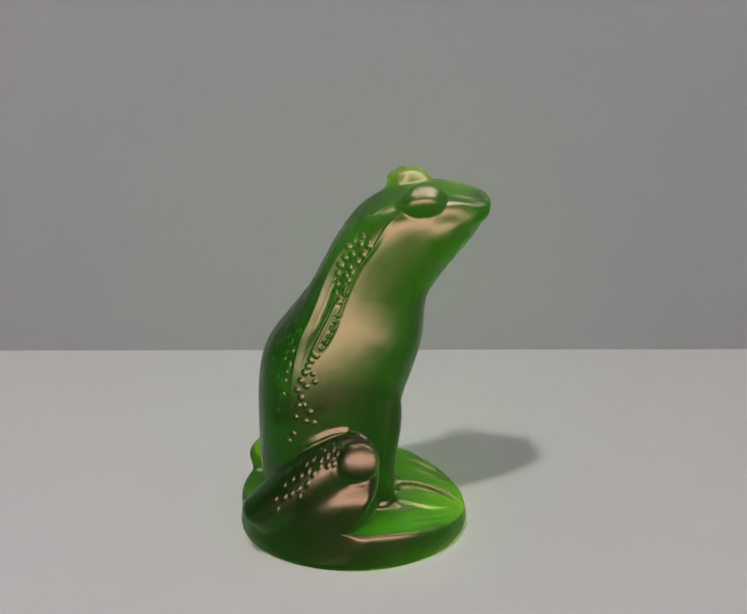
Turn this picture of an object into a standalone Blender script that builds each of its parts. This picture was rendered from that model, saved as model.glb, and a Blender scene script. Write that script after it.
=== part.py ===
"""A seated frog on a leaf-shaped foot slab, pressed as one solid piece of green satin glass.

The frog faces +X, its left side is +Y, and it rests on the plane z = 0. The origin is the
centre of its bounding box, on that plane. Every form below is a closed solid that sinks into
its neighbours; a voxel remesh then fuses them, as the glass does in its mould.
"""

import math

import bpy
import numpy as np
from mathutils import Matrix, Vector

MM = 0.001

# Driving dimensions, in millimetres and degrees.
BODY_HEIGHT = 58.0
BODY_REACH = 19.0
BODY_WIDTH = 20.0
HEAD_TURN = 11.0
EYE_DIAMETER = 5.9
EYE_SPACING = 8.0
EYE_BULGE = 2.6
EYE_DROOP = 26.0
EYE_LEAD = 14.0
FOLD_HEIGHT = 0.5
BASE_LENGTH = 36.6
BASE_WIDTH = 32.4
BASE_THICKNESS = 4.2
ARM_DIAMETER = 5.2
HAND_SPACING = 6.4
THIGH_DIAMETER = 9.6
SHANK_DIAMETER = 8.4
KNEE_SPACING = 23.0
LEG_LENGTH = 14.8
KNEE_HEIGHT = 18.2
KNEE_CAP_DIAMETER = 6.6
KNEE_CAP_DEPTH = 1.4
KNEE_CAP_TILT = 15.0

# How finely the forms are fused, and what the fused skin is reduced to.
VOXEL = 0.42
SMOOTHING_PASSES = 5
SKIN_TRIANGLES = 8500
RESTING_BAND = 0.1


def spline(rows, steps):
    """The rows of numbers with steps - 1 rows put between each two, on a Catmull-Rom curve."""
    rows = np.asarray(rows, float)
    ends = np.vstack([2 * rows[0] - rows[1], rows, 2 * rows[-1] - rows[-2]])
    made = []
    for i in range(len(rows) - 1):
        a, b, c, d = ends[i : i + 4]
        for t in np.arange(steps) / steps:
            curve = (2 * a - 5 * b + 4 * c - d) * t**2 + (3 * b - a - 3 * c + d) * t**3
            made.append(0.5 * (2 * b + (c - a) * t + curve))
    made.append(rows[-1])
    return np.array(made)


def skin_rings(name, rings, tip_low, tip_high):
    """A closed mesh over rings of points, closed by a tip beyond the first ring and one beyond the last."""
    count = len(rings[0])
    points = [p for ring in rings for p in ring] + [tip_low, tip_high]
    low, high = len(points) - 2, len(points) - 1
    faces = []
    for r in range(len(rings) - 1):
        for k in range(count):
            n = (k + 1) % count
            faces.append((r * count + k, r * count + n, (r + 1) * count + n, (r + 1) * count + k))
    top = (len(rings) - 1) * count
    for k in range(count):
        n = (k + 1) % count
        faces.append((n, k, low))
        faces.append((top + k, top + n, high))
    mesh = bpy.data.meshes.new(name)
    mesh.from_pydata([Vector(p) * MM for p in points], [], faces)
    mesh.update()
    return mesh


def limb(name, stations, segments=28, steps=5):
    """A closed, round-ended form along stations of (x, y, z, half width, half height)."""
    rows = spline(stations, steps)
    centres, halves = rows[:, :3], rows[:, 3:5]
    ways = np.gradient(centres, axis=0)
    angles = np.arange(segments) * 2 * math.pi / segments
    rings = []

    def ring(centre, way, half):
        way = Vector(way).normalized()
        side = (Vector((0, 1, 0)) - way * way.y).normalized()
        up = way.cross(side).normalized()
        wide, high = side * half[0], up * half[1]
        return [Vector(centre) + wide * math.sin(a) + high * math.cos(a) for a in angles]

    last = len(rows) - 1
    domes = [(0, -1), (last, 1)]
    tips = []
    caps = {}
    for index, sign in domes:
        way = Vector(ways[index]).normalized()
        bulge = min(halves[index]) * 0.8
        caps[index] = [
            ring(
                np.array(centres[index]) + np.array(way) * sign * bulge * math.sin(t),
                ways[index],
                halves[index] * math.cos(t),
            )
            for t in (0.35, 0.75, 1.15)
        ]
        tips.append(Vector(centres[index]) + way * sign * bulge)
    rings += caps[0][::-1]
    rings += [ring(centres[i], ways[i], halves[i]) for i in range(last + 1)]
    rings += caps[last]
    return skin_rings(name, rings, tips[0], tips[1])


def ball(name, centre, radii, turn=Matrix.Identity(3)):
    """An ellipsoid of those radii, turned about its own centre."""
    rings = []
    steps = 18
    for i in range(1, steps):
        t = math.pi * i / steps
        ring = []
        for k in range(2 * steps):
            a = math.pi * k / steps
            across = Vector((radii[0] * math.sin(t) * math.cos(a), radii[1] * math.sin(t) * math.sin(a), 0))
            ring.append(Vector(centre) + turn @ (across - Vector((0, 0, radii[2] * math.cos(t)))))
        rings.append(ring)
    tip = turn @ Vector((0, 0, radii[2]))
    return skin_rings(name, rings, Vector(centre) - tip, Vector(centre) + tip)


def bump(value, width):
    """1 at value 0, falling smoothly to 0 at plus or minus width."""
    t = min(1.0, abs(value) / width)
    return (1 - t * t) ** 2


def rise(value, low, high):
    """0 below low, 1 above high, and a smooth step between."""
    t = min(1.0, max(0.0, (value - low) / (high - low)))
    return t * t * (3 - 2 * t)


# ---------------------------------------------------------------- body and head

# From the seat to the snout: back x, back z, belly x, belly z, half width.
# As shares of BODY_REACH, BODY_HEIGHT and half of BODY_WIDTH.
BODY_STATIONS = [
    (-0.80, 0.035, 0.10, 0.035, 0.84),
    (-0.87, 0.190, 0.17, 0.160, 0.95),
    (-0.885, 0.330, 0.23, 0.290, 1.00),
    (-0.875, 0.455, 0.32, 0.410, 1.00),
    (-0.805, 0.545, 0.41, 0.500, 0.955),
    (-0.630, 0.625, 0.47, 0.575, 0.875),
    (-0.475, 0.692, 0.48, 0.640, 0.785),
    (-0.370, 0.756, 0.51, 0.695, 0.732),
    (-0.235, 0.840, 0.61, 0.750, 0.708),
    (-0.050, 0.916, 0.73, 0.800, 0.70),
    (0.165, 0.963, 0.83, 0.838, 0.70),
    (0.450, 0.979, 0.92, 0.872, 0.63),
    (0.700, 0.978, 0.965, 0.897, 0.52),
    (0.870, 0.963, 0.985, 0.915, 0.40),
    (0.945, 0.952, 0.988, 0.930, 0.29),
]
NECK_SHARE = 0.56
FOLD_ANGLE = math.radians(47)
FOLD_SPREAD = math.radians(12)
BACK_SQUARENESS = 2.5
HEAD_SQUARENESS = 3.1
BELLY_SQUARENESS = 2.15

# From the neck to the eye: distance behind the eye's centre, inwards of it and below it, in
# millimetres, and thickness as a share of EYE_DIAMETER.
BROW_STATIONS = [
    (6.0, -0.2, 5.3, 0.45),
    (4.0, 0.1, 2.9, 0.60),
    (2.0, 0.5, 1.1, 0.72),
    (0.8, 0.6, 0.3, 0.80),
]


def head_share(share):
    """0 below the neck, rising to 1 in the head, for a share of the way from seat to snout."""
    return min(1.0, max(0.0, (share - NECK_SHARE) / 0.2))


def body_section(angle, share):
    """The body's outline: a broad back between two raised skin folds, and a round belly."""
    from_top = min(angle, 2 * math.pi - angle)
    upper = BACK_SQUARENESS + (HEAD_SQUARENESS - BACK_SQUARENESS) * head_share(share)
    power = upper if from_top < math.pi / 2 else BELLY_SQUARENESS
    across, up = abs(math.sin(angle)), abs(math.cos(angle))
    radius = (across**power + up**power) ** (-1 / power)
    fade = min(1.0, max(0.0, (share - 0.25) / 0.2)) * min(1.0, max(0.0, (0.72 - share) / 0.1))
    return radius + fade * FOLD_HEIGHT / (BODY_WIDTH / 2) * bump(from_top - FOLD_ANGLE, FOLD_SPREAD)


def body_rows():
    rows = []
    for back_x, back_z, belly_x, belly_z, wide in BODY_STATIONS:
        back = Vector((back_x * BODY_REACH, 0, back_z * BODY_HEIGHT))
        belly = Vector((belly_x * BODY_REACH, 0, belly_z * BODY_HEIGHT))
        rows.append((back, belly, wide * BODY_WIDTH / 2))
    return rows


def head_turned(point, share=1.0):
    """A point of the head, turned about the neck's upright axis by a share of HEAD_TURN."""
    pivot = Vector((0.25 * BODY_REACH, 0, 0))
    turn = Matrix.Rotation(math.radians(HEAD_TURN) * share, 3, "Z")
    return pivot + turn @ (Vector(point) - pivot)


def body():
    """The body as one loft from the seat to the snout, its head end turned a little to the left."""
    rows = spline([(*back, *belly, half) for back, belly, half in body_rows()], 6)
    segments = 96
    angles = [2 * math.pi * k / segments for k in range(segments)]
    last = len(rows) - 1
    rings = []

    def ring(row, share, shrink=1.0, push=0.0):
        back, belly, half = Vector(row[:3]), Vector(row[3:6]), row[6]
        centre, up = (back + belly) / 2, (back - belly) / 2
        ahead = Vector((up.z, 0, -up.x)).normalized()
        made = []
        for a in angles:
            r = body_section(a, share) * shrink
            point = centre + up * (math.cos(a) * r) + Vector((0, math.sin(a) * r * half, 0)) + ahead * push
            made.append(head_turned(point, head_share(share)))
        return made

    def tip(row, share, push):
        points = ring(row, share, 0.0, push)
        return points[0]

    snout = 0.032 * BODY_REACH
    rings = [ring(rows[i], i / last) for i in range(last + 1)]
    rings += [ring(rows[last], 1.0, math.cos(t), snout * math.sin(t)) for t in (0.4, 0.8, 1.15)]
    return skin_rings("body", rings, tip(rows[0], 0.0, 0.0), tip(rows[last], 1.0, snout))


def eyes():
    """Two bulging eyes that lean outwards on top of the head, each drawn out backwards into its brow."""
    radius = EYE_DIAMETER / 2
    made = []
    for side in (1, -1):
        centre = Vector((0.412 * BODY_REACH, side * (EYE_SPACING / 2 + 0.5), BODY_HEIGHT - EYE_BULGE + 0.35))
        lean = Matrix.Rotation(math.radians(-EYE_LEAD * side), 3, "Z")
        lean = lean @ Matrix.Rotation(math.radians(-EYE_DROOP * side), 3, "X")
        made.append(ball("eye", head_turned(centre), (radius * 1.25, radius * 0.88, radius * 1.08), lean))
        rows = []
        for behind, inwards, below, share in BROW_STATIONS:
            place = head_turned(centre - Vector((behind, side * inwards, below)))
            rows.append((*place, radius * share, radius * share))
        made.append(limb("brow", rows))
    return made


# ---------------------------------------------------------------- limbs, mirrored across y = 0

# From the shoulder down: x as a share of BODY_REACH, height as a share of BODY_HEIGHT, distance
# outside the hand's own line in millimetres, half width and half depth as shares of half ARM_DIAMETER.
ARM_STATIONS = [
    (-0.05, 0.600, 0.3, 0.85, 0.85),
    (0.10, 0.480, 0.8, 1.10, 1.10),
    (0.15, 0.362, 1.0, 1.12, 1.10),
    (0.115, 0.224, 0.6, 1.02, 1.00),
]
FOREARM_X = 2.2

# Down the middle: x as a share of BODY_REACH, height as a share of BODY_HEIGHT, half width as a
# share of half BODY_WIDTH, half depth as a share of half ARM_DIAMETER.
CHEST_STATIONS = [
    (-0.05, 0.586, 0.80, 1.31),
    (0.02, 0.431, 0.84, 1.65),
    (0.06, 0.259, 0.76, 1.50),
    (0.04, 0.121, 0.68, 1.27),
]
FINGER_SPREADS = (-30, 2, 34)
FINGER_LENGTH = 2.5

# From the heel end to the knee: share of LEG_LENGTH behind the knee, height as a share of
# KNEE_HEIGHT, distance inside the knee's own line in millimetres, half width and half height
# as shares of half the diameter. The heel end of each lies just above the resting face.
THIGH_STATIONS = [
    (1.00, None, 2.3, 0.92, 0.96),
    (0.735, 0.50, 1.8, 1.00, 1.02),
    (0.40, 0.76, 0.8, 0.90, 0.98),
    (0.115, 0.96, 0.0, 0.68, 0.76),
    (0.00, 0.99, 0.1, 0.60, 0.68),
]
SHANK_STATIONS = [
    (0.845, None, 1.9, 0.98, 1.04),
    (0.385, 0.46, 0.4, 1.00, 1.12),
    (0.14, 0.64, 0.5, 1.00, 1.06),
    (0.015, 0.92, 0.8, 0.74, 0.78),
]
ANKLE_STATIONS = [
    (0.96, None, 2.6, 1.00, 0.92),
    (0.65, None, 1.0, 1.04, 1.00),
    (0.42, None, 0.9, 0.98, 0.94),
]
# The two laps run from the shank across to the belly and close the gap between them.
UPPER_LAP_STATIONS = [
    (0.390, 0.350, 0.9, 0.90, 1.05),
    (0.236, 0.385, 1.7, 0.90, 1.24),
    (0.115, 0.407, 4.9, 0.81, 1.19),
]
LOWER_LAP_STATIONS = [
    (0.358, 0.242, 0.9, 0.81, 0.71),
    (0.210, 0.352, 3.1, 0.76, 1.00),
    (0.074, 0.473, 6.1, 0.71, 1.10),
]
KNEE_X = -0.7
HEEL_LIFT = 1.15


def arm(side):
    """A straight fore leg, from the shoulder down the belly to the hand on the slab."""
    half = ARM_DIAMETER / 2
    line = HAND_SPACING / 2
    rows = [
        (x * BODY_REACH, side * (line + out), up * BODY_HEIGHT, wide * half, deep * half)
        for x, up, out, wide, deep in ARM_STATIONS
    ]
    rows.append((FOREARM_X, side * line, BASE_THICKNESS + half / 2, half, half))
    return limb("arm", rows)


def chest():
    """The glass that closes the gap between the two arms, down to the slab."""
    rows = [
        (x * BODY_REACH, 0.0, up * BODY_HEIGHT, wide * BODY_WIDTH / 2, deep * ARM_DIAMETER / 2)
        for x, up, wide, deep in CHEST_STATIONS
    ]
    return limb("chest", rows)


def hand(side):
    """Three fingers that lie on the foot slab."""
    wrist = Vector((FOREARM_X + 0.8, side * HAND_SPACING / 2, BASE_THICKNESS + 1.9))
    made = []
    for spread in FINGER_SPREADS:
        way = Matrix.Rotation(math.radians(spread * side), 3, "Z") @ Vector((FINGER_LENGTH, 0, 0))
        mid = wrist + way / 2 - Vector((0, 0, 0.2))
        tip = wrist + way - Vector((0, 0, 0.9))
        rows = [(*wrist, 1.0, 0.9), (*mid, 0.85, 0.75), (*tip, 0.95, 0.7)]
        made.append(limb("finger", rows, segments=16, steps=3))
    return made


def leg_rows(side, stations, diameter):
    half = diameter / 2
    rows = []
    for behind, up, inside, wide, high in stations:
        height = half * HEEL_LIFT if up is None else up * KNEE_HEIGHT
        y = side * (KNEE_SPACING / 2 - inside)
        rows.append((KNEE_X - behind * LEG_LENGTH, y, height, wide * half, high * half))
    return rows


def knee_cap(side):
    """A low round knob that faces outwards and a little up."""
    tilt = math.radians(KNEE_CAP_TILT)
    facing = Vector((0, side * math.cos(tilt), math.sin(tilt)))
    radius = KNEE_CAP_DIAMETER / 2
    centre = (KNEE_X - 0.3, side * (KNEE_SPACING / 2 + 2.6), KNEE_HEIGHT - 0.2)
    turn = facing.to_track_quat("Z", "Y").to_matrix()
    return ball("knee_cap", centre, (radius, radius, KNEE_CAP_DEPTH), turn)


def hind_leg(side):
    """Thigh up to the knee, shank folded back under it, the ankle, the laps and the knee cap."""
    return [
        limb("thigh", leg_rows(side, THIGH_STATIONS, THIGH_DIAMETER)),
        limb("shank", leg_rows(side, SHANK_STATIONS, SHANK_DIAMETER)),
        limb("ankle", leg_rows(side, ANKLE_STATIONS, SHANK_DIAMETER)),
        limb("upper_lap", leg_rows(side, UPPER_LAP_STATIONS, SHANK_DIAMETER)),
        limb("lower_lap", leg_rows(side, LOWER_LAP_STATIONS, SHANK_DIAMETER)),
        knee_cap(side),
    ]


# ---------------------------------------------------------------- foot slab

BASE_CENTRE_X = -2.0
FEET_LINE_Y = -0.5
WEB_DISH = 0.75
RIM_HEIGHT = 0.25
RIDGE_HEIGHT = 0.35
TOE_HEIGHT = 0.26
TOE_COUNT = 7

# Along the slab, as a share of half BASE_LENGTH ahead of its centre: how far the webs' inner
# edges lie from the feet's line, as a share of half BASE_WIDTH; how far the webs rise above
# BASE_THICKNESS; and how deep the trough between the feet is, both in millimetres.
WEB_ALONG = [-0.22, 0.19, 0.40, 0.55, 0.67, 0.82, 1.00]
WEB_EDGE = [0.185, 0.185, 0.185, 0.210, 0.216, 0.160, 0.056]
WEB_RISE = [2.0, 1.7, 1.4, 1.0, 0.4, -0.3, -1.3]
TROUGH_DEPTH = [0.2, 1.1, 1.4, 1.3, 1.0, 0.55, 0.1]


def slab_outline(angle):
    """The slab's rim at this angle from +X: a long oval."""
    return math.cos(angle) * BASE_LENGTH / 2, math.sin(angle) * BASE_WIDTH / 2


def slab_top(x, y):
    """Height of the slab's upper face: two webbed feet that slope to the toes, with a trough between.

    Each foot has a dished web inside a raised rim. Inside the web's own raised edge the toes
    are low ribs that meet at the front.
    """
    along = (x - BASE_CENTRE_X) / (BASE_LENGTH / 2)
    edge = math.hypot(along, y / (BASE_WIDTH / 2))
    inner = float(np.interp(along, WEB_ALONG, WEB_EDGE))
    high = float(np.interp(along, WEB_ALONG, WEB_RISE))
    trough = float(np.interp(along, WEB_ALONG, TROUGH_DEPTH))
    web = abs(y - FEET_LINE_Y) - inner * BASE_WIDTH / 2
    height = BASE_THICKNESS + high - trough * (1 - rise(web, -0.8, 0.0))
    height -= WEB_DISH * bump(edge - 0.55, 0.36) * rise(web, 0.0, 3.0)
    height += RIM_HEIGHT * bump(edge - 0.93, 0.09) * rise(web, 0.0, 3.0)
    height += RIDGE_HEIGHT * bump(web - 0.3, 0.9) * (1 - rise(along, 0.7, 1.0))
    fan = math.atan2(abs(y), (1.33 - along) * BASE_LENGTH / 2) / math.radians(60)
    ribbed = rise(web, 0.5, 2.5) * bump(along - 0.75, 0.45)
    return height + TOE_HEIGHT * math.cos(2 * math.pi * TOE_COUNT * fan) * ribbed


def foot_slab():
    """The slab as rings: up the wall from the resting face, then inwards over the feet."""
    segments = 180
    angles = [2 * math.pi * k / segments for k in range(segments)]
    wall = [(0.980, 0.0), (0.991, 0.08), (1.0, 0.30), (1.0, 0.60), (0.994, 0.88)]
    top = [0.978] + [0.95 - 0.025 * k for k in range(37)]
    rings = []
    for share, up in wall:
        ring = []
        for a in angles:
            x, y = slab_outline(a)
            inner = slab_top(BASE_CENTRE_X + x * top[0], y * top[0])
            ring.append(Vector((BASE_CENTRE_X + x * share, y * share, inner * up)))
        rings.append(ring)
    for share in top:
        ring = []
        for a in angles:
            x, y = slab_outline(a)
            x, y = BASE_CENTRE_X + x * share, y * share
            ring.append(Vector((x, y, slab_top(x, y))))
        rings.append(ring)
    low = Vector((BASE_CENTRE_X, 0, 0))
    high = Vector((BASE_CENTRE_X, 0, slab_top(BASE_CENTRE_X, 0)))
    return skin_rings("foot_slab", rings, low, high)


# ---------------------------------------------------------------- fusing and finishing


def glass():
    material = bpy.data.materials.new("green_satin_glass")
    material.use_nodes = True
    shader = material.node_tree.nodes["Principled BSDF"]
    shader.inputs["Base Color"].default_value = (0.03, 0.22, 0.015, 1)
    shader.inputs["Roughness"].default_value = 0.35
    shader.inputs["Metallic"].default_value = 0.0
    return material


def fused(forms):
    """One mesh: the overlapping closed forms melted together, then reduced to SKIN_TRIANGLES."""
    points, faces = [], []
    for form in forms:
        first = len(points)
        points += [v.co.copy() for v in form.vertices]
        faces += [[first + i for i in p.vertices] for p in form.polygons]
    joined = bpy.data.meshes.new("forms")
    joined.from_pydata(points, [], faces)
    joined.update()
    blank = bpy.data.objects.new("forms", joined)
    bpy.context.scene.collection.objects.link(blank)

    fuse = blank.modifiers.new("fuse", "REMESH")
    fuse.mode = "VOXEL"
    fuse.voxel_size = VOXEL * MM
    melt = blank.modifiers.new("melt", "SMOOTH")
    melt.factor = 0.5
    melt.iterations = SMOOTHING_PASSES
    fine = bpy.data.meshes.new_from_object(blank.evaluated_get(bpy.context.evaluated_depsgraph_get()))
    blank.modifiers.clear()
    blank.data = fine
    fine.calc_loop_triangles()
    reduce = blank.modifiers.new("reduce", "DECIMATE")
    reduce.ratio = SKIN_TRIANGLES / len(fine.loop_triangles)
    reduce.use_collapse_triangulate = True
    skin = bpy.data.meshes.new_from_object(blank.evaluated_get(bpy.context.evaluated_depsgraph_get()))
    bpy.data.objects.remove(blank)
    return skin


def set_down(skin):
    """Flatten the resting face onto z = 0 and put the box's centre over the origin."""
    points = np.array([v.co[:] for v in skin.vertices])
    points[:, 2] -= points[:, 2].min()
    points[:, 2][points[:, 2] < RESTING_BAND * MM] = 0.0
    points[:, :2] -= (points[:, :2].min(axis=0) + points[:, :2].max(axis=0)) / 2
    skin.vertices.foreach_set("co", points.ravel())
    skin.update()


def main():
    for obj in list(bpy.data.objects):
        bpy.data.objects.remove(obj)
    forms = [body(), foot_slab(), chest(), *eyes()]
    for side in (1, -1):
        forms += [arm(side), *hand(side), *hind_leg(side)]
    skin = fused(forms)
    set_down(skin)
    skin.name = "glass_frog"
    skin.materials.clear()
    skin.materials.append(glass())
    skin.shade_smooth()
    frog = bpy.data.objects.new("glass_frog", skin)
    bpy.context.scene.collection.objects.link(frog)


main()
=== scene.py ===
"""The looks of a seated frog pressed in green satin glass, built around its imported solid.

The frog is modelled again at a fine scale: the same closed forms, fused by a voxel remesh,
then cut with relief that is measured in hundredths of a millimetre.
"""

import math

import bmesh
import bpy
import numpy as np
from mathutils import Matrix, Vector
from mathutils.bvhtree import BVHTree
from mathutils.kdtree import KDTree


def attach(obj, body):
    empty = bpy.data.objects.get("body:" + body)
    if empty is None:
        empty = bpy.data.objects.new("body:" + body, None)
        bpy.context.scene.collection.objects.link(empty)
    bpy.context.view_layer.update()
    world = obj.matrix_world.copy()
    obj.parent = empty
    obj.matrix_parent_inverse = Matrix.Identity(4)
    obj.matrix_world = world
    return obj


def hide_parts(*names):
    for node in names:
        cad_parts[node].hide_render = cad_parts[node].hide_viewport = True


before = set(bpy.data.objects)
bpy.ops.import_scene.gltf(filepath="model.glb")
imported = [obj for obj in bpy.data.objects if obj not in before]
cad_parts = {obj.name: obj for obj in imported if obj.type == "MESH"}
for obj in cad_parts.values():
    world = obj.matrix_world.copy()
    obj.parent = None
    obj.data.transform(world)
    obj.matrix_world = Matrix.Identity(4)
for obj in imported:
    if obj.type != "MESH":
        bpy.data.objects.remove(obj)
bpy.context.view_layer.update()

MM = 0.001
VOXEL = 0.21

# ------------------------------------------------------------------ the forms' sizes, in mm

BODY_HEIGHT = 58.0
BODY_REACH = 19.0
BODY_WIDTH = 20.0
HEAD_TURN = 11.0
EYE_DIAMETER = 5.9
EYE_SPACING = 8.0
EYE_BULGE = 2.6
EYE_DROOP = 26.0
EYE_LEAD = 14.0
BASE_LENGTH = 36.6
BASE_WIDTH = 32.4
BASE_THICKNESS = 4.2
ARM_DIAMETER = 5.2
HAND_SPACING = 6.4
THIGH_DIAMETER = 9.6
SHANK_DIAMETER = 8.4
KNEE_SPACING = 23.0
LEG_LENGTH = 14.8
KNEE_HEIGHT = 18.2

# ------------------------------------------------------------------ making closed forms


def spline(rows, steps):
    """The rows of numbers with steps - 1 rows put between each two, on a Catmull-Rom curve."""
    rows = np.asarray(rows, float)
    ends = np.vstack([2 * rows[0] - rows[1], rows, 2 * rows[-1] - rows[-2]])
    made = []
    for i in range(len(rows) - 1):
        a, b, c, d = ends[i : i + 4]
        for t in np.arange(steps) / steps:
            made.append(
                0.5
                * (2 * b + (c - a) * t + (2 * a - 5 * b + 4 * c - d) * t**2 + (3 * b - a - 3 * c + d) * t**3)
            )
    made.append(rows[-1])
    return np.array(made)


def bump(value, width):
    """1 at value 0, falling smoothly to 0 at plus or minus width."""
    t = np.minimum(1.0, np.abs(value) / width)
    return (1 - t * t) ** 2


def rise(value, low, high):
    """0 below low, 1 above high, and a smooth step between."""
    t = np.clip((value - low) / (high - low), 0, 1)
    return t * t * (3 - 2 * t)


def skin_rings(rings, tip_low, tip_high):
    """Points and faces of a closed form over rings of points, with a tip beyond each end."""
    count = len(rings[0])
    points = [p for ring in rings for p in ring] + [tip_low, tip_high]
    low, high = len(points) - 2, len(points) - 1
    faces = []
    for r in range(len(rings) - 1):
        for k in range(count):
            n = (k + 1) % count
            faces.append((r * count + k, r * count + n, (r + 1) * count + n, (r + 1) * count + k))
    top = (len(rings) - 1) * count
    for k in range(count):
        n = (k + 1) % count
        faces.append((n, k, low))
        faces.append((top + k, top + n, high))
    return points, faces


def limb(stations, segments=40, steps=8):
    """A closed, round-ended form along stations of (x, y, z, half width, half height)."""
    rows = spline(stations, steps)
    centres, halves = rows[:, :3], rows[:, 3:5]
    ways = np.gradient(centres, axis=0)
    angles = np.arange(segments) * 2 * math.pi / segments

    def ring(centre, way, half):
        way = Vector(way).normalized()
        side = (Vector((0, 1, 0)) - way * way.y).normalized()
        up = way.cross(side).normalized()
        return [
            Vector(centre) + side * (math.sin(a) * half[0]) + up * (math.cos(a) * half[1]) for a in angles
        ]

    last = len(rows) - 1
    caps, tips = {}, []
    for index, sign in ((0, -1), (last, 1)):
        way = np.array(Vector(ways[index]).normalized())
        bulge = min(halves[index]) * 0.8
        caps[index] = [
            ring(centres[index] + way * sign * bulge * math.sin(t), ways[index], halves[index] * math.cos(t))
            for t in (0.35, 0.75, 1.15)
        ]
        tips.append(Vector(centres[index] + way * sign * bulge))
    rings = caps[0][::-1] + [ring(centres[i], ways[i], halves[i]) for i in range(last + 1)] + caps[last]
    return skin_rings(rings, tips[0], tips[1])


def button(centre, facing, radius, depth):
    """A flattened ball whose short way faces along facing."""
    points, faces = ball((0, 0, 0), (radius, radius, depth))
    turn = Vector(facing).to_track_quat("Z", "Y")
    return [Vector(centre) + turn @ p for p in points], faces


def ball(centre, radii, steps=24):
    rings = []
    for i in range(1, steps):
        t = math.pi * i / steps
        rings.append(
            [
                Vector(centre)
                + Vector(
                    (
                        radii[0] * math.sin(t) * math.cos(math.pi * k / steps),
                        radii[1] * math.sin(t) * math.sin(math.pi * k / steps),
                        -radii[2] * math.cos(t),
                    )
                )
                for k in range(2 * steps)
            ]
        )
    low = Vector(centre) - Vector((0, 0, radii[2]))
    high = Vector(centre) + Vector((0, 0, radii[2]))
    return skin_rings(rings, low, high)


# ------------------------------------------------------------------ body and head

# From the seat to the snout: back x, back z, belly x, belly z, half width, as shares.
BODY_STATIONS = [
    (-0.80, 0.035, 0.10, 0.035, 0.84),
    (-0.87, 0.190, 0.17, 0.160, 0.95),
    (-0.885, 0.330, 0.23, 0.290, 1.00),
    (-0.875, 0.455, 0.32, 0.410, 1.00),
    (-0.805, 0.545, 0.41, 0.500, 0.955),
    (-0.630, 0.625, 0.47, 0.575, 0.875),
    (-0.475, 0.692, 0.48, 0.640, 0.785),
    (-0.370, 0.756, 0.51, 0.695, 0.732),
    (-0.235, 0.840, 0.61, 0.750, 0.708),
    (-0.050, 0.916, 0.73, 0.800, 0.70),
    (0.165, 0.963, 0.83, 0.838, 0.70),
    (0.450, 0.979, 0.92, 0.872, 0.63),
    (0.700, 0.978, 0.965, 0.897, 0.52),
    (0.870, 0.963, 0.985, 0.915, 0.40),
    (0.945, 0.952, 0.988, 0.930, 0.29),
]
NECK_SHARE = 0.56
BACK_SQUARENESS = 2.5
HEAD_SQUARENESS = 3.1
BELLY_SQUARENESS = 2.15


def body_radius(angle, top_power):
    from_top = min(angle, 2 * math.pi - angle)
    power = top_power if from_top < math.pi / 2 else BELLY_SQUARENESS
    return (abs(math.sin(angle)) ** power + abs(math.cos(angle)) ** power) ** (-1 / power)


def head_turned(point, share=1.0):
    """A point of the head, turned about the neck's upright axis by a share of HEAD_TURN."""
    pivot = Vector((0.25 * BODY_REACH, 0, 0))
    turn = Matrix.Rotation(math.radians(HEAD_TURN) * share, 3, "Z")
    return pivot + turn @ (Vector(point) - pivot)


def body():
    rows = spline(
        [
            (bx * BODY_REACH, 0, bz * BODY_HEIGHT, cx * BODY_REACH, 0, cz * BODY_HEIGHT, w * BODY_WIDTH / 2)
            for bx, bz, cx, cz, w in BODY_STATIONS
        ],
        8,
    )
    angles = np.arange(128) * 2 * math.pi / 128
    last = len(rows) - 1

    def ring(row, share, shrink=1.0, push=0.0):
        back, belly, half = Vector(row[:3]), Vector(row[3:6]), row[6]
        centre, up = (back + belly) / 2, (back - belly) / 2
        ahead = Vector((up.z, 0, -up.x)).normalized()
        made = []
        head = min(1.0, max(0.0, (share - NECK_SHARE) / 0.2))
        for a in angles:
            r = body_radius(a, BACK_SQUARENESS + (HEAD_SQUARENESS - BACK_SQUARENESS) * head) * shrink
            point = centre + up * (math.cos(a) * r) + Vector((0, math.sin(a) * r * half, 0)) + ahead * push
            made.append(head_turned(point, head))
        return made

    snout = 0.032 * BODY_REACH
    rings = [ring(rows[i], i / last) for i in range(last + 1)]
    rings += [ring(rows[last], 1.0, math.cos(t), snout * math.sin(t)) for t in (0.4, 0.8, 1.15)]
    return skin_rings(rings, ring(rows[0], 0.0, 0.0)[0], ring(rows[last], 1.0, 0.0, snout)[0])


def eyes():
    radius = EYE_DIAMETER / 2
    made = []
    for side in (1, -1):
        centre = Vector(
            (
                0.412 * BODY_REACH,
                side * (EYE_SPACING / 2 + 0.50),
                BODY_HEIGHT - EYE_BULGE + 0.30 - 0.25 * side,
            )
        )
        points, faces = ball((0, 0, 0), (radius * 1.25, radius * 0.88, radius * 1.08))
        droop = Matrix.Rotation(math.radians(-EYE_DROOP * side), 3, "X")
        droop = Matrix.Rotation(math.radians(-EYE_LEAD * side), 3, "Z") @ droop
        made.append(([head_turned(centre + droop @ p) for p in points], faces))
        tail = [
            (Vector((-6.0, side * 0.2, -5.3)), 0.45),
            (Vector((-4.0, -side * 0.1, -2.9)), 0.60),
            (Vector((-2.0, -side * 0.5, -1.1)), 0.72),
            (Vector((-0.8, -side * 0.6, -0.3)), 0.80),
        ]
        made.append(
            limb([(*head_turned(centre + off), radius * share, radius * share) for off, share in tail])
        )
    return made


# ------------------------------------------------------------------ limbs, mirrored across y = 0

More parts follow.
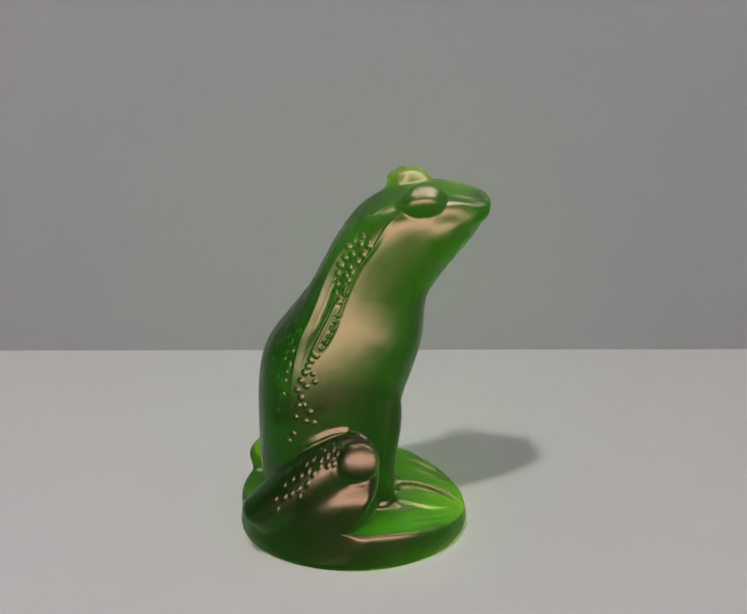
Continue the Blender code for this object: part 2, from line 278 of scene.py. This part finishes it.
ARM_STATIONS = [
    (-0.05, 0.600, 0.3, 0.85, 0.85),
    (0.10, 0.480, 0.8, 1.10, 1.10),
    (0.15, 0.362, 1.0, 1.12, 1.10),
    (0.115, 0.224, 0.6, 1.02, 1.00),
]
FOREARM_X = 2.2
THIGH_STATIONS = [
    (1.00, None, 2.3, 0.92, 0.96),
    (0.735, 0.50, 1.8, 1.00, 1.02),
    (0.40, 0.76, 0.8, 0.90, 0.98),
    (0.115, 0.96, 0.0, 0.68, 0.76),
    (0.00, 0.99, 0.1, 0.60, 0.68),
]
SHANK_STATIONS = [
    (0.845, None, 1.9, 0.98, 1.04),
    (0.385, 0.46, 0.9, 1.00, 1.12),
    (0.14, 0.64, 1.0, 1.00, 1.06),
    (0.015, 0.92, 1.2, 0.74, 0.78),
]
ANKLE_STATIONS = [
    (0.96, None, 2.6, 1.00, 0.92),
    (0.65, None, 1.0, 1.04, 1.00),
    (0.42, None, 0.9, 0.98, 0.94),
]
KNEE_X = -0.7
KNEE_CAP = (-1.0, 14.1, 18.0)
KNEE_CAP_TILT = 15.0
KNEE_CAP_RADIUS = 3.3
KNEE_CAP_DEPTH = 1.4
HEEL_LIFT = 1.15
# Two forms that close the gap between shank and belly: x, y, z, half width, half height.
LAPS = [
    [(-6.5, 10.6, 6.4, 3.8, 4.4), (-4.2, 9.8, 7.0, 3.8, 5.2), (-2.4, 6.6, 7.4, 3.4, 5.0)],
    [(-6.0, 10.6, 4.4, 3.4, 3.0), (-3.8, 8.4, 6.4, 3.2, 4.2), (-1.8, 5.4, 8.6, 3.0, 4.6)],
]


def arm(side):
    half = ARM_DIAMETER / 2
    line = HAND_SPACING / 2
    rows = [
        (x * BODY_REACH, side * (line + out), up * BODY_HEIGHT, wide * half, deep * half)
        for x, up, out, wide, deep in ARM_STATIONS
    ]
    rows.append((FOREARM_X, side * line, BASE_THICKNESS + half / 2, half, half))
    return limb(rows)


def hand(side):
    wrist = Vector((FOREARM_X + 0.8, side * HAND_SPACING / 2, BASE_THICKNESS + 1.9))
    made = []
    for spread in (-30, 2, 34):
        way = Matrix.Rotation(math.radians(spread * side), 3, "Z") @ Vector((2.5, 0, 0))
        mid = wrist + way / 2 - Vector((0, 0, 0.5))
        tip = wrist + way - Vector((0, 0, 1.3))
        made.append(limb([(*wrist, 1.0, 0.9), (*mid, 0.85, 0.75), (*tip, 0.95, 0.7)], segments=20, steps=4))
    return made


def leg_rows(side, stations, diameter):
    half = diameter / 2
    rows = []
    for behind, up, inside, wide, high in stations:
        height = half * HEEL_LIFT if up is None else up * KNEE_HEIGHT
        y = side * (KNEE_SPACING / 2 - inside)
        rows.append((KNEE_X - behind * LEG_LENGTH, y, height, wide * half, high * half))
    return rows


def knee_facing(side):
    tilt = math.radians(KNEE_CAP_TILT)
    return Vector((0, side * math.cos(tilt), math.sin(tilt)))


def hind_leg(side):
    return [
        limb(leg_rows(side, THIGH_STATIONS, THIGH_DIAMETER)),
        limb(leg_rows(side, SHANK_STATIONS, SHANK_DIAMETER)),
        limb(leg_rows(side, ANKLE_STATIONS, SHANK_DIAMETER)),
        button(
            (KNEE_CAP[0], side * KNEE_CAP[1], KNEE_CAP[2]),
            knee_facing(side),
            KNEE_CAP_RADIUS,
            KNEE_CAP_DEPTH,
        ),
        *[limb([(x, side * y, z, wide, high) for x, y, z, wide, high in lap]) for lap in LAPS],
    ]


# ------------------------------------------------------------------ foot slab

BASE_CENTRE_X = -2.0
FEET_LINE_Y = -0.5
# Along the feet: how far the webs' inner edges lie from the feet's line, the webs' height,
# and the trough's depth.
WEB_X = [-6.0, 1.4, 5.4, 8.0, 10.2, 13.0, 16.2]
WEB_EDGE = [3.0, 3.0, 3.0, 3.4, 3.5, 2.6, 0.9]
WEB_HEIGHT = [6.2, 5.9, 5.6, 5.2, 4.6, 3.9, 2.9]
TROUGH_DEPTH = [0.2, 1.1, 1.4, 1.3, 1.0, 0.55, 0.1]


def slab_top(x, y):
    """Height of the slab's upper face: two webbed feet with a raised rim, and a trough between them."""
    edge = math.hypot((x - BASE_CENTRE_X) / (BASE_LENGTH / 2), y / (BASE_WIDTH / 2))
    inner, high, trough = (float(np.interp(x, WEB_X, row)) for row in (WEB_EDGE, WEB_HEIGHT, TROUGH_DEPTH))
    web = abs(y - FEET_LINE_Y) - inner
    height = high - trough * (1 - rise(web, -0.8, 0.0))
    height -= 0.75 * bump(edge - 0.55, 0.36) * rise(web, 0.0, 3.0)
    height += 0.25 * bump(edge - 0.93, 0.09) * rise(web, 0.0, 3.0)
    return height


def foot_slab():
    angles = np.arange(360) * 2 * math.pi / 360
    wall = [(0.980, 0.0), (0.991, 0.08), (1.0, 0.30), (1.0, 0.60), (0.994, 0.88)]
    top = [0.978] + [0.962 - 0.015 * i for i in range(62)]

    def place(a, share):
        return BASE_CENTRE_X + math.cos(a) * BASE_LENGTH / 2 * share, math.sin(a) * BASE_WIDTH / 2 * share

    rings = [
        [Vector((*place(a, share), slab_top(*place(a, top[0])) * up)) for a in angles] for share, up in wall
    ]
    rings += [[Vector((*place(a, share), slab_top(*place(a, share)))) for a in angles] for share in top]
    low, high = Vector((BASE_CENTRE_X, 0, 0)), Vector((BASE_CENTRE_X, 0, slab_top(BASE_CENTRE_X, 0)))
    return skin_rings(rings, low, high)


# ------------------------------------------------------------------ fusing


def evaluated_mesh(obj):
    return bpy.data.meshes.new_from_object(obj.evaluated_get(bpy.context.evaluated_depsgraph_get()))


def fused(forms):
    points, faces = [], []
    for form_points, form_faces in forms:
        first = len(points)
        points += [p * MM for p in form_points]
        faces += [[first + i for i in f] for f in form_faces]
    joined = bpy.data.meshes.new("forms")
    joined.from_pydata(points, [], faces)
    blank = bpy.data.objects.new("forms", joined)
    bpy.context.scene.collection.objects.link(blank)
    fuse = blank.modifiers.new("fuse", "REMESH")
    fuse.mode = "VOXEL"
    fuse.voxel_size = VOXEL * MM
    melt = blank.modifiers.new("melt", "SMOOTH")
    melt.factor = 0.5
    melt.iterations = 14
    skin = evaluated_mesh(blank)
    bpy.data.objects.remove(blank)
    return skin


# Down the middle, the glass between the two arms.
PILLAR = [
    (-1.0, 0, 34.0, 8.0, 3.4),
    (0.4, 0, 25.0, 8.4, 4.3),
    (1.1, 0, 15.0, 7.6, 3.9),
    (0.8, 0, 7.0, 6.8, 3.3),
]

forms = [body(), foot_slab(), limb(PILLAR), *eyes()]
for side in (1, -1):
    forms += [arm(side), *hand(side), *hind_leg(side)]
skin = fused(forms)

# ------------------------------------------------------------------ relief, in mm, for the right side

UPPER_FOLD = [
    (3.3, -3.1, 55.6), (1.5, -4.0, 54.2), (-0.9, -4.7, 51.6), (-3.6, -4.6, 48.1), (-5.7, -4.8, 44.0),
    (-7.2, -5.5, 40.4), (-8.4, -6.3, 37.8), (-9.5, -6.9, 35.8), (-10.4, -7.8, 33.2), (-11.2, -8.8, 28.5),
    (-11.6, -9.2, 22.0),
]
BLADE = [(-4.3, -7.0, 41.8), (-4.8, -7.3, 40.2), (-6.3, -7.9, 37.2), (-7.8, -8.5, 34.2), (-8.8, -8.8, 32.2)]
LOWER_FOLD = [
    (5.9, -5.3, 55.9), (3.6, -6.0, 53.4), (1.5, -6.7, 50.2), (-0.9, -6.8, 46.7), (-2.4, -7.1, 43.5),
    (-3.7, -7.7, 40.2), (-4.5, -8.1, 37.6), (-6.0, -8.7, 35.0), (-7.4, -8.9, 33.0),
]
STRIP_BEADS = [
    (-0.3, -5.4, 51.3, 0.9), (-0.7, -5.7, 50.3, 1.0), (-2.3, -4.9, 49.4, 1.0), (0.6, -6.4, 50.2, 1.25),
    (-0.3, -6.5, 48.8, 1.2), (-2.0, -5.7, 48.6, 1.0), (-1.2, -6.4, 47.6, 1.0), (-3.7, -5.3, 46.6, 1.0),
    (-2.4, -6.1, 46.7, 1.0), (-3.1, -6.2, 45.4, 1.1), (-2.1, -6.6, 45.9, 1.0), (-3.3, -6.6, 44.1, 1.1),
    (-2.7, -6.8, 44.7, 0.9), (-4.4, -6.0, 44.0, 0.9), (-4.6, -6.4, 42.6, 1.0), (-3.1, -7.0, 42.9, 1.25),
    (-3.9, -7.0, 41.5, 1.0), (-4.0, -5.4, 45.3, 0.9), (-1.4, -5.2, 50.3, 0.8), (-3.0, -5.3, 47.8, 0.9),
]
EDGE_BEADS = [
    (-4.2, -7.7, 39.5, 0.9), (-4.5, -7.9, 38.6, 1.0), (-4.9, -8.1, 37.5, 1.1), (-5.5, -8.4, 36.4, 1.0),
    (-6.0, -8.6, 35.5, 1.1), (-6.6, -8.7, 34.6, 1.0), (-7.4, -8.8, 33.5, 1.3), (-8.1, -8.9, 32.6, 1.1),
    (-8.6, -9.0, 31.7, 1.1), (-9.1, -9.1, 30.7, 1.1), (-9.7, -9.2, 29.4, 1.1), (-8.9, -9.4, 28.6, 1.0),
    (-7.6, -9.6, 29.4, 0.9), (-10.3, -9.2, 27.9, 1.0), (-9.7, -9.5, 26.7, 1.0), (-10.1, -9.5, 25.3, 1.1),
    (-9.3, -9.7, 25.5, 0.8), (-8.4, -9.9, 24.4, 1.1), (-9.0, -9.9, 22.8, 0.9), (-7.8, -10.0, 22.6, 1.0),
    (-10.6, -9.5, 23.4, 0.8), (-11.0, -9.5, 20.5, 1.0), (-11.7, -9.2, 19.2, 0.9), (-7.9, -9.3, 30.6, 0.8),
]
BACK_BEADS = [
    (-9.8, -6.0, 36.4, 0.9), (-11.4, -5.1, 35.2, 0.8), (-11.2, -6.1, 34.5, 0.9), (-11.1, -7.0, 33.6, 1.0),
    (-12.0, -6.6, 33.2, 0.8), (-12.3, -6.9, 32.3, 0.9), (-11.6, -7.8, 31.6, 0.9), (-12.1, -8.0, 30.4, 0.8),
    (-12.3, -8.2, 29.0, 0.9), (-12.6, -8.4, 26.8, 1.0), (-10.3, -4.2, 37.4, 0.8), (-9.4, -2.8, 39.2, 0.8),
    (-1.5, -2.4, 52.4, 0.8), (0.3, -3.4, 53.7, 0.8), (0.9, -2.2, 54.5, 0.7), (-2.4, -2.4, 51.3, 0.8),
    (-3.9, -2.2, 49.3, 0.8), (-5.2, -3.2, 46.6, 0.8), (-6.6, -2.4, 44.2, 0.8), (-7.4, -3.8, 42.0, 0.8),
    (-8.6, -4.6, 39.6, 0.8), (-8.2, -1.6, 41.6, 0.7), (-11.6, -3.2, 36.0, 0.8), (-13.2, -3.6, 33.6, 0.8),
    (-14.0, -5.6, 31.4, 0.8), (-13.4, -7.2, 29.4, 0.8), (-14.8, -3.0, 30.4, 0.7), (-14.2, -6.8, 26.6, 0.8),
    (-13.2, -8.0, 24.0, 0.8), (-13.8, -7.6, 21.2, 0.8), (0.2, -1.0, 54.6, 0.7), (-2.9, -0.9, 51.2, 0.7),
    (-5.0, -0.8, 47.8, 0.7), (-10.2, -1.0, 38.9, 0.7), (-12.6, -0.9, 35.7, 0.7),
]
THIGH_BEADS = [
    (-6.8, -11.7, 19.1), (-6.2, -12.4, 19.1), (-4.8, -13.0, 19.6), (-5.6, -13.3, 18.7), (-6.6, -13.3, 18.0),
    (-6.7, -13.7, 17.1), (-5.6, -14.0, 17.5), (-4.7, -14.2, 17.9), (-8.4, -13.4, 16.2), (-9.6, -13.3, 15.4),
    (-7.7, -13.8, 15.9), (-8.7, -14.0, 14.4), (-10.0, -13.9, 13.4), (-11.1, -13.8, 12.5), (-12.2, -13.6, 11.8),
    (-13.6, -13.1, 11.2), (-9.9, -14.2, 12.2), (-13.4, -13.7, 9.6), (-8.4, -11.2, 18.2), (-9.9, -11.9, 16.6),
    (-7.6, -12.6, 17.6), (-5.0, -12.0, 20.2), (-8.8, -12.7, 16.9), (-10.8, -12.9, 14.6), (-6.0, -11.2, 19.9),
    (-12.0, -12.6, 13.4), (-11.5, -11.6, 15.1), (-4.0, -13.4, 19.0),
]
KNEE_CREST = [
    (-10.5, -9.2, 17.4), (-8.3, -9.9, 19.3), (-5.4, -9.9, 20.8), (-2.6, -10.2, 21.2), (-0.6, -11.2, 20.9),
    (0.8, -12.0, 20.0),
]
MOUTH = [
    (18.9, 0.9, 52.7), (18.1, -0.8, 52.4), (16.7, -2.9, 52.45), (14.3, -4.6, 52.4), (11.7, -5.7, 52.3),
    (9.6, -6.2, 52.7), (8.4, -6.2, 53.8),
]
CANTHUS = [(12.2, -2.6, 56.7), (14.2, -2.7, 56.3), (16.2, -2.3, 55.9), (17.9, -1.1, 55.4)]
WEB_RIDGE = [
    (1.4, -3.5, 5.9), (5.4, -3.5, 5.6), (8.0, -3.9, 5.2), (10.2, -4.0, 4.6), (13.0, -3.1, 3.9),
    (15.2, -1.9, 3.2),
]
TOES = [
    ([(5.4, -9.4, 4.6), (9.6, -7.9, 4.3), (13.8, -5.6, 3.6)], 0.26),
    ([(5.2, -12.0, 4.6), (9.0, -10.6, 4.3), (12.4, -8.2, 3.9)], 0.22),
    ([(6.4, -6.6, 4.8), (10.4, -5.6, 4.3), (14.4, -3.8, 3.5)], 0.20),
]


def mirrored(place):
    """The matching place on the frog's left side: mirrored as the head and neck are turned."""
    x, y, z = place[:3]
    share = float(np.clip((z + 0.32 * x - 47.3) / 9.7, 0, 1))
    pivot = Vector((0.25 * BODY_REACH, 0, 0))
    turn = Matrix.Rotation(math.radians(HEAD_TURN) * share, 3, "Z")
    straight = pivot + turn.inverted() @ (Vector((x, y, z)) - pivot)
    straight.y *= -1
    return tuple(pivot + turn @ (straight - pivot)) + tuple(place[3:])


def coordinates(mesh):
    values = np.empty(len(mesh.vertices) * 3)
    mesh.vertices.foreach_get("co", values)
    return values.reshape(-1, 3) / MM


def refine(mesh, seeds, reach):
    """Splits the mesh's edges within reach of a seed, so that fine relief has points to move."""
    tree = KDTree(len(seeds))
    for i, seed in enumerate(seeds):
        tree.insert(seed, i)
    tree.balance()
    work = bmesh.new()
    work.from_mesh(mesh)
    near = {v for v in work.verts if tree.find(v.co / MM)[2] < reach}
    edges = [e for e in work.edges if e.verts[0] in near and e.verts[1] in near]
    bmesh.ops.subdivide_edges(work, edges=edges, cuts=1, use_grid_fill=True)
    work.to_mesh(mesh)
    work.free()


def ease(mesh, at, share, rounds):
    """Moves each point towards the middle of its neighbours, in place, by its share."""
    pairs = np.empty(len(mesh.edges) * 2, dtype=np.int64)
    mesh.edges.foreach_get("vertices", pairs)
    used = share[pairs.reshape(-1, 2)].max(axis=1) > 0
    a, b = pairs.reshape(-1, 2)[used].T
    near = np.unique(np.concatenate((a, b)))
    place = np.zeros(len(at), dtype=np.int64)
    place[near] = np.arange(len(near))
    a, b = place[a], place[b]
    count = np.bincount(a, minlength=len(near)) + np.bincount(b, minlength=len(near))
    some, part = at[near], share[near][:, None] * 0.5
    for _ in range(rounds):
        middle = np.stack(
            [
                np.bincount(a, some[b, k], minlength=len(near))
                + np.bincount(b, some[a, k], minlength=len(near))
                for k in range(3)
            ],
            axis=1,
        ) / count[:, None]
        some += part * (middle - some)
    at[near] = some


def both_sides(items):
    """The items as given, for the right side, and mirrored for the left."""
    return [list(items), [mirrored(p) for p in items]]


bead_sets = [
    (both_sides(STRIP_BEADS), 0.56, 0.21),
    (both_sides(EDGE_BEADS), 0.52, 0.20),
    (both_sides(BACK_BEADS), 0.55, 0.12),
]
lines = [UPPER_FOLD, BLADE, LOWER_FOLD, KNEE_CREST, MOUTH, CANTHUS]
seeds = [p[:3] for sets, _, _ in bead_sets for beads in sets for p in beads]
seeds += [p for beads in both_sides(THIGH_BEADS) for p in beads]
for line in lines:
    for one in both_sides(line):
        seeds += [tuple(p) for p in spline(one, 5)]
refine(skin, seeds, 0.9)

# Below the thigh the leg is one smooth, nearly upright wall over the slab's outline.
WALL_TOP = ([-18.0, -12.0, -6.0, -2.0, 1.0], [4.8, 8.0, 11.0, 12.6, 12.6])
at = coordinates(skin)
at[:, 2] -= at[:, 2].min()
across = at[:, :2] - (BASE_CENTRE_X, 0)
edge = np.hypot(across[:, 0] / (BASE_LENGTH / 2), across[:, 1] / (BASE_WIDTH / 2))
wanted = 0.985 - 0.01 * at[:, 2] / 12
top = np.interp(at[:, 0], *WALL_TOP)
share = rise(edge, 0.72, 0.86) * rise(at[:, 2], 0.8, 2.4) * (1 - rise(at[:, 2], top - 1.5, top + 2.5))
share *= 1 - rise(at[:, 0] - 0.45 * (at[:, 2] - 4), -3.2, -1.4)
grow = 1 + share * (wanted / np.maximum(edge, 0.1) - 1)
at[:, :2] = across * grow[:, None] + (BASE_CENTRE_X, 0)
low_leg = rise(edge, 0.70, 0.84) * rise(at[:, 2], 1.0, 2.5) * (1 - rise(at[:, 2], top + 1.5, top + 4.5))
low_leg *= 1 - rise(at[:, 0] - 0.45 * (at[:, 2] - 4), -1.2, 0.2)
ease(skin, at, low_leg, 60)
skin.vertices.foreach_set("co", (at * MM).ravel())
skin.update()

facing = np.empty(len(skin.vertices) * 3)
skin.vertex_normals.foreach_get("vector", facing)
facing = facing.reshape(-1, 3)
surface = BVHTree.FromPolygons([tuple(p) for p in at], [tuple(f.vertices) for f in skin.polygons])
lift = np.zeros(len(at))


def on_skin(place):
    return np.array(surface.find_nearest(Vector(place[:3]))[0])


def beside(line, reach):
    """The points within reach of a line: index, distance off to its left, and share along it."""
    path = np.array([on_skin(p) for p in spline(line, 5)])
    best = np.full(len(at), 1e9)
    side = np.zeros(len(at))
    share = np.zeros(len(at))
    for i in range(len(path) - 1):
        a, b = path[i], path[i + 1]
        low, high = np.minimum(a, b) - reach, np.maximum(a, b) + reach
        near = np.nonzero(((at > low) & (at < high)).all(axis=1))[0]
        way = b - a
        length = np.linalg.norm(way)
        t = np.clip((at[near] - a) @ way / length**2, 0, 1)
        off = at[near] - (a + t[:, None] * way)
        distance = np.linalg.norm(off, axis=1)
        closer = distance < best[near]
        near, t, off, distance = near[closer], t[closer], off[closer], distance[closer]
        best[near] = distance
        left = np.cross(facing[near], way / length)
        side[near] = np.where((off * left).sum(axis=1) >= 0, distance, -distance)
        share[near] = (i + t) / (len(path) - 1)
    near = np.nonzero(best < reach)[0]
    return near, side[near], share[near]


def fold(line, height, sharp, slope, flip, fade_in=0.08, fade_out=0.2):
    """A raised skin fold: steep over sharp on one side, easing down over slope on the other."""
    near, side, share = beside(line, slope * 1.05)
    side = side * flip
    profile = np.where(side < 0, bump(side, sharp), np.clip(1 - side / slope, 0, 1) ** 1.3)
    raised = height * profile * rise(share, 0, fade_in) * rise(1 - share, 0, fade_out)
    lift[near] = np.maximum(lift[near], raised)


def beads(places, radius, height):
    for x, y, z, size in places:
        centre = on_skin((x, y, z))
        reach = radius * size
        near = np.nonzero((np.abs(at - centre) < reach).all(axis=1))[0]
        distance = np.linalg.norm(at[near] - centre, axis=1) / reach
        dome = np.sqrt(np.clip(1 - distance**2, 0, 1)) * rise(1 - distance, 0.0, 0.25)
        lift[near] += height * size * dome


def strokes(places, way, length, width, height):
    """Small drops drawn out along way."""
    way = np.array(Vector(way).normalized())
    for place in places:
        centre = on_skin(place)
        near = np.nonzero((np.abs(at - centre) < length).all(axis=1))[0]
        off = at[near] - centre
        ahead = off @ way
        across = np.linalg.norm(off - ahead[:, None] * way, axis=1)
        lift[near] += height * bump(np.hypot(ahead / length, across / width), 1.0)


def trail(line, sign):
    """A line of the right side, as it is for sign 1 and mirrored for sign -1."""
    return list(line) if sign == 1 else [mirrored(p) for p in line]


for sign in (1, -1):
    # The strip between the two folds is sunk a little.
    strip = [np.add(upper, lower) / 2 for upper, lower in zip(UPPER_FOLD[:8], LOWER_FOLD[:8])]
    near, side, share = beside(trail(strip, sign), 1.5)
    lift[near] -= 0.16 * bump(side, 1.5) * rise(share, 0.3, 0.55) * rise(1 - share, 0, 0.15)
    fold(trail(UPPER_FOLD, sign), 0.56, 0.34, 1.15, sign, 0.35, 0.60)
    fold(trail(BLADE, sign), 0.42, 0.30, 0.80, sign, 0.25, 0.25)
    fold(trail(LOWER_FOLD, sign), 0.28, 0.30, 0.55, sign, 0.35, 0.20)
    fold(trail(KNEE_CREST, sign), 0.36, 0.32, 0.9, sign, 0.3, 0.3)
    # A crease under and behind the knee cap.
    cap = Vector((KNEE_CAP[0], -sign * KNEE_CAP[1], KNEE_CAP[2]))
    near = np.nonzero((np.abs(at - np.array(cap)) < 6).all(axis=1))[0]
    off = at[near] - np.array(cap)
    tilt = math.radians(KNEE_CAP_TILT)
    upward = np.array((0, sign * math.sin(tilt), math.cos(tilt)))
    u, v = off[:, 0], off @ upward
    below = rise(np.cos(np.arctan2(v, -u) + 0.75), 0.15, 0.65)
    below *= off @ np.array(knee_facing(-sign)) > -1.5
    lift[near] -= 0.10 * bump(np.hypot(u, v) - KNEE_CAP_RADIUS - 0.1, 0.7) * below
    # The upper lip stands out over the throat along the mouth; the snout's top is set off by a soft crease.
    near, side, share = beside(trail(MOUTH, sign), 3.4)
    above = -side * sign
    lip = 0.18 * bump(np.maximum(above - 0.9, 0), 2.4) * rise(above, -0.9, 0.7)
    lip -= 0.26 * bump(np.minimum(above + 0.9, 0), 2.4) * (1 - rise(above, -1.1, 0.4))
    lift[near] += lip * rise(1 - share, 0.3, 0.8)
    # The cheek leans out over the mouth, towards the brow.
    near, side, share = beside(trail(MOUTH, sign), 5.0)
    above = -side * sign
    lift[near] += 0.45 * rise(above, 0.6, 3.4) * (1 - rise(above, 3.4, 4.9)) * rise(share, 0.25, 0.6)
    near, side, share = beside(trail(CANTHUS, sign), 1.6)
    lift[near] -= 0.22 * bump(side, 1.1) * rise(share, 0, 0.4) * rise(1 - share, 0, 0.5)
    # The web's raised inner edge, with the trough beside it.
    ridge = [(x, FEET_LINE_Y - sign * (FEET_LINE_Y - y), z) for x, y, z in WEB_RIDGE]
    near, side, share = beside(ridge, 1.8)
    inside = np.abs(at[near, 1] - FEET_LINE_Y) < np.abs(np.interp(at[near, 0], WEB_X, WEB_EDGE))
    profile = np.where(inside, -0.45 * bump(side - np.sign(side) * 0.7, 0.7), 0.30 * bump(side, 0.8))
    lift[near] += profile * rise(1 - share, 0, 0.3)
    for line, height in TOES:
        near, side, share = beside(trail(line, sign), 0.9)
        lift[near] += height * bump(side, 1.0) * rise(share, 0, 0.6) * rise(1 - share, 0, 0.15)
for sets, radius, height in bead_sets:
    for places in sets:
        beads(places, radius, height)
for places in both_sides(THIGH_BEADS):
    strokes(places, (0.25, 0.0, 1.0), 0.85, 0.42, 0.19)

lift *= rise(at[:, 2], 0.6, 1.4)
moved = (at + facing * lift[:, None]) * MM
skin.vertices.foreach_set("co", moved.ravel())
skin.update()

points = np.empty(len(skin.vertices) * 3)
skin.vertices.foreach_get("co", points)
points = points.reshape(-1, 3)
points[:, 2] -= points[:, 2].min()
points[:, 2][points[:, 2] < 0.1 * MM] = 0.0
points[:, :2] -= (points[:, :2].min(axis=0) + points[:, :2].max(axis=0)) / 2
skin.vertices.foreach_set("co", points.ravel())
skin.update()
skin.shade_smooth()
frog = bpy.data.objects.new("glass_frog_skin", skin)
bpy.context.scene.collection.objects.link(frog)

# ------------------------------------------------------------------ satin glass


def new_material(name):
    material = bpy.data.materials.new(name)
    material.use_nodes = True
    tree = material.node_tree
    return material, tree, tree.nodes["Principled BSDF"], tree.nodes["Material Output"]


def satin_glass():
    material, tree, shader, output = new_material("green_satin_glass")
    shader.inputs["Base Color"].default_value = (0.92, 0.97, 0.80, 1)
    shader.inputs["Metallic"].default_value = 0.0
    shader.inputs["Roughness"].default_value = 0.32
    shader.inputs["Specular Tint"].default_value = (0.30, 0.178, 0.12, 1)
    shader.inputs["IOR"].default_value = 1.45
    shader.inputs["Transmission Weight"].default_value = 1.0
    place = tree.nodes.new("ShaderNodeTexCoord")

    def noise(scale, detail):
        node = tree.nodes.new("ShaderNodeTexNoise")
        node.inputs["Scale"].default_value = scale
        node.inputs["Detail"].default_value = detail
        tree.links.new(place.outputs["Object"], node.inputs["Vector"])
        return node.outputs["Fac"]

    polish = tree.nodes.new("ShaderNodeMapRange")
    polish.inputs["From Min"].default_value = 0.3
    polish.inputs["From Max"].default_value = 0.7
    polish.inputs["To Min"].default_value = 0.29
    polish.inputs["To Max"].default_value = 0.36
    tree.links.new(noise(260.0, 3.0), polish.inputs["Value"])
    tree.links.new(polish.outputs["Result"], shader.inputs["Roughness"])
    previous = None
    for scale, detail, height in ((330.0, 2.0, 0.00006), (2600.0, 3.0, 0.000006)):
        grain = tree.nodes.new("ShaderNodeBump")
        grain.inputs["Strength"].default_value = 1.0
        grain.inputs["Distance"].default_value = height
        tree.links.new(noise(scale, detail), grain.inputs["Height"])
        if previous:
            tree.links.new(previous, grain.inputs["Normal"])
        previous = grain.outputs["Normal"]
    tree.links.new(previous, shader.inputs["Normal"])
    depth = tree.nodes.new("ShaderNodeVolumeAbsorption")
    depth.inputs["Color"].default_value = (0.70, 0.882, 0.03, 1)
    depth.inputs["Density"].default_value = 720.0
    tree.links.new(depth.outputs["Volume"], output.inputs["Volume"])
    return material


skin.materials.clear()
skin.materials.append(satin_glass())
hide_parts("glass_frog")
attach(frog, "root")

# ------------------------------------------------------------------ stage, light and camera


def matte(name, colour):
    material, tree, shader, output = new_material(name)
    shader.inputs["Base Color"].default_value = (*colour, 1)
    shader.inputs["Roughness"].default_value = 0.8
    shader.inputs["Specular IOR Level"].default_value = 0.0
    return material


def panel(name, corners, material):
    mesh = bpy.data.meshes.new(name)
    mesh.from_pydata([Vector(c) for c in corners], [], [(0, 1, 2, 3)])
    mesh.materials.append(material)
    obj = bpy.data.objects.new(name, mesh)
    bpy.context.scene.collection.objects.link(obj)
    return obj


WALL_Y = 0.067
FLOOR_Z = -0.0001
panel(
    "floor",
    [(-1, -1, FLOOR_Z), (1, -1, FLOOR_Z), (1, WALL_Y, FLOOR_Z), (-1, WALL_Y, FLOOR_Z)],
    matte("pale_floor", (0.515, 0.49, 0.485)),
)
panel(
    "backdrop",
    [(-1, WALL_Y, -0.2), (1, WALL_Y, -0.2), (1, WALL_Y, 0.8), (-1, WALL_Y, 0.8)],
    matte("grey_wall", (0.485, 0.455, 0.475)),
)


def area_light(name, place, target, size, power, colour):
    light = bpy.data.lights.new(name, "AREA")
    light.shape = "RECTANGLE"
    light.size, light.size_y = size
    light.energy = power
    light.color = colour
    obj = bpy.data.objects.new(name, light)
    obj.location = place
    obj.rotation_euler = (Vector(target) - Vector(place)).to_track_quat("-Z", "Y").to_euler()
    bpy.context.scene.collection.objects.link(obj)
    return obj


area_light("key", (-0.094, -0.21, 0.58), (0, 0, 0.03), (0.03, 0.03), 1.75, (1.0, 0.98, 0.94))
area_light("ceiling", (0.0, 0.0, 0.80), (0, 0, 0), (0.9, 0.9), 3.6, (1.0, 0.99, 0.98))
# These lamps make highlights only: they light nothing by diffuse or transmitted light.
for name, place, target, size, power in (
    ("window", (0.08, -0.33, 0.12), (0, 0, 0.05), (0.60, 0.21), 23.0),
    ("glint", (-0.09, -0.20, 0.50), (0, 0, 0.04), (0.05, 0.05), 3.0),
    ("back", (0.03, 0.055, 0.24), (0.0, 0.0, 0.05), (0.40, 0.20), 10.0),
    ("sky", (-0.165, -0.29, 0.08), (0, 0, 0.04), (0.05, 0.05), 1.2),
):
    colour = (0.75, 0.95, 1.0) if name == "sky" else (1.0, 0.93, 0.91)
    lamp = area_light(name, place, target, size, power, colour)
    lamp.visible_diffuse = False
    lamp.visible_transmission = False
    lamp.visible_camera = False
world = bpy.data.worlds.new("studio")
bpy.context.scene.world = world
world.use_nodes = True
world.node_tree.nodes["Background"].inputs["Color"].default_value = (0.62, 0.82, 1.0, 1)
world.node_tree.nodes["Background"].inputs["Strength"].default_value = 0.12

camera = bpy.data.cameras.new("camera")
camera.sensor_width = 36.0
camera.lens = 77.1
camera.clip_start = 0.01
view = bpy.data.objects.new("camera", camera)
view.location = (0.0007, -0.2275, 0.1337)
view.rotation_euler = (math.radians(90 - 22.9), 0, math.radians(-0.295))
bpy.context.scene.collection.objects.link(view)
bpy.context.scene.camera = view
bpy.context.scene.view_settings.view_transform = "Standard"
